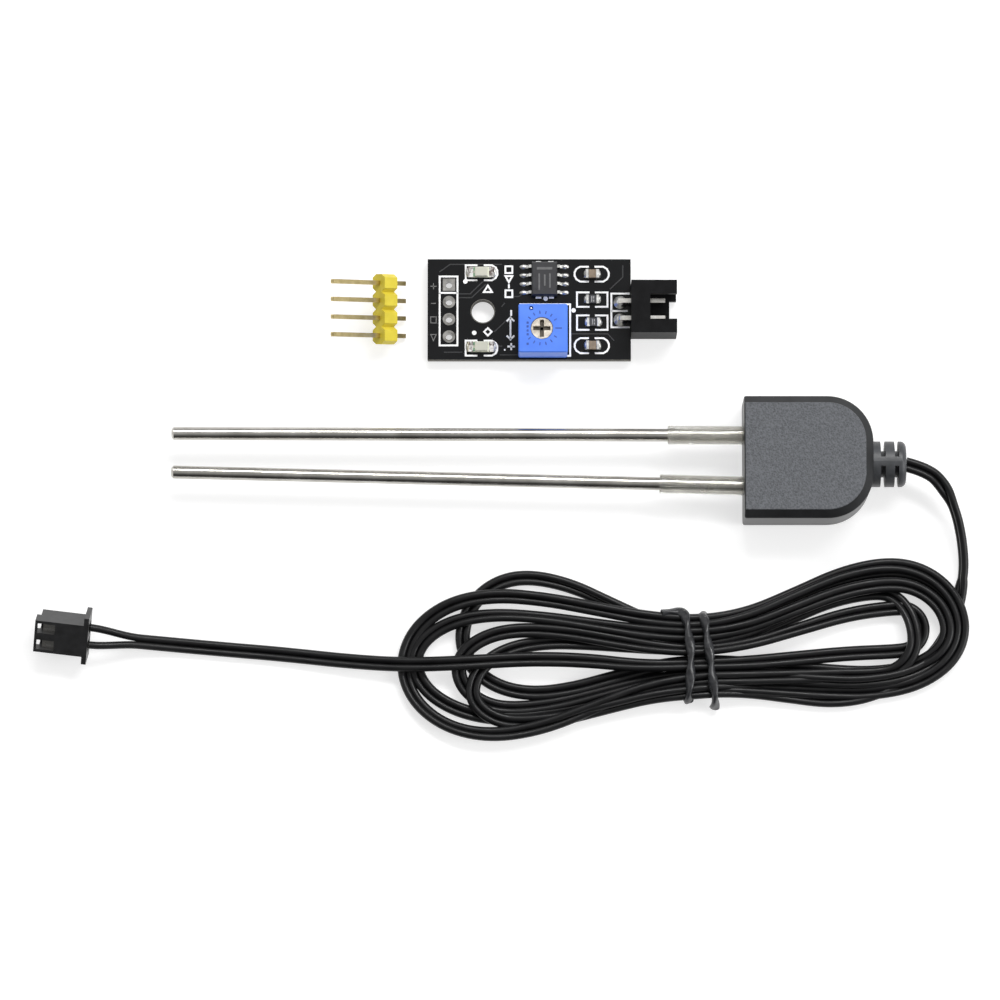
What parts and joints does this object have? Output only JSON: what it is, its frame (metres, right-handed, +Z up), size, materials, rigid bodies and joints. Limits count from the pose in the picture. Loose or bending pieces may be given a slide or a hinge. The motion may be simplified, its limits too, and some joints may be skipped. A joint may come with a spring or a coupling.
{
  "type": "soil moisture sensor",
  "caption": "Soil moisture sensor kit: a probe with steel rods, a moulded housing and a coiled twin cable with plug, a comparator board with a trimmer, and a loose pin header.",
  "frame": {"origin": "on the surface, at the middle of the box round the probe, board and header (the cord, its tie and its plug left out)", "axes": "+X from the rod tips to the cable exit, +Y from the probe to the board, +Z up"},
  "size_m": [0.1349, 0.0704, 0.0118],
  "materials": {
    "grey_pvc": "fine spark texture on the flats, satin on the rounded borders",
    "white_nylon": "satin",
    "stainless": "drawn wire, bright",
    "clear_sleeve": "clear shrink sleeve, slightly yellow",
    "copper": "bare",
    "cable_black": "satin jacket",
    "tie_black": "satin",
    "connector_black": "fine matte",
    "tinned": "bright tin",
    "board_black": "semi matte solder mask with white print",
    "solder": "solder, satin",
    "chip_black": "moulded",
    "trimmer_blue": "satin moulded",
    "rotor_metal": "worn nickel",
    "ceramic": "matte",
    "lamp_white": "satin",
    "lamp_lens": "clear resin, slightly yellow",
    "capacitor_tan": "fired ceramic",
    "resistor_black": "glazed",
    "header_yellow": "satin moulded",
    "gold": "flash plated"
  },
  "bodies": {
    "probe": {"bared_core_lower": "copper", "bared_core_upper": "copper", "clear_sleeve_lower": "clear_sleeve", "clear_sleeve_upper": "clear_sleeve", "cord_coil": "cable_black", "cord_lead_plug": "cable_black", "cord_lead_probe": "cable_black", "crimp_lower": "copper", "crimp_upper": "copper", "housing": "grey_pvc", "plug_contact_1": "tinned", "plug_contact_2": "tinned", "plug_housing": "connector_black", "rod_bridge": "white_nylon", "rod_lower": "stainless", "rod_upper": "stainless", "strain_relief": "grey_pvc", "twist_tie": "tie_black"},
    "board": {"capacitor_1": "capacitor_tan", "capacitor_1_ends": "solder", "capacitor_2": "capacitor_tan", "capacitor_2_ends": "solder", "circuit_board": "board_black", "comparator": "chip_black", "comparator_leads": "solder", "hole_plating": "solder", "lamp_base_1": "lamp_white", "lamp_base_2": "lamp_white", "lamp_ends_1": "solder", "lamp_ends_2": "solder", "lamp_lens_1": "lamp_lens", "lamp_lens_2": "lamp_lens", "resistor_1": "resistor_black", "resistor_1_ends": "solder", "resistor_2": "resistor_black", "resistor_2_ends": "solder", "socket_pin_1": "tinned", "socket_pin_2": "tinned", "socket_shroud": "connector_black", "socket_solder_1": "solder", "socket_solder_2": "solder", "trimmer_base": "ceramic", "trimmer_case": "trimmer_blue", "trimmer_legs": "solder", "trimmer_solder": "solder", "trimmer_track": "ceramic"},
    "rotor": {"trimmer_rotor": "rotor_metal", "trimmer_wiper": "copper"},
    "header": {"header_insulator": "header_yellow", "header_pin_1": "gold", "header_pin_2": "gold", "header_pin_3": "gold", "header_pin_4": "gold"}
  },
  "joints": [
    {"name": "trimmer_turn", "type": "hinge", "parent": "board", "child": "rotor", "pos_m": [0.00035, 0.00828, 0.0066], "axis": [0, 0, 1], "range_deg": [-130, 130]},
    {"name": "board_lift", "type": "slide", "parent": "probe", "child": "board", "axis": [0, 0, 1], "range_m": [0, 0.04]},
    {"name": "header_lift", "type": "slide", "parent": "probe", "child": "header", "axis": [0, 0, 1], "range_m": [0, 0.04]}
  ]
}
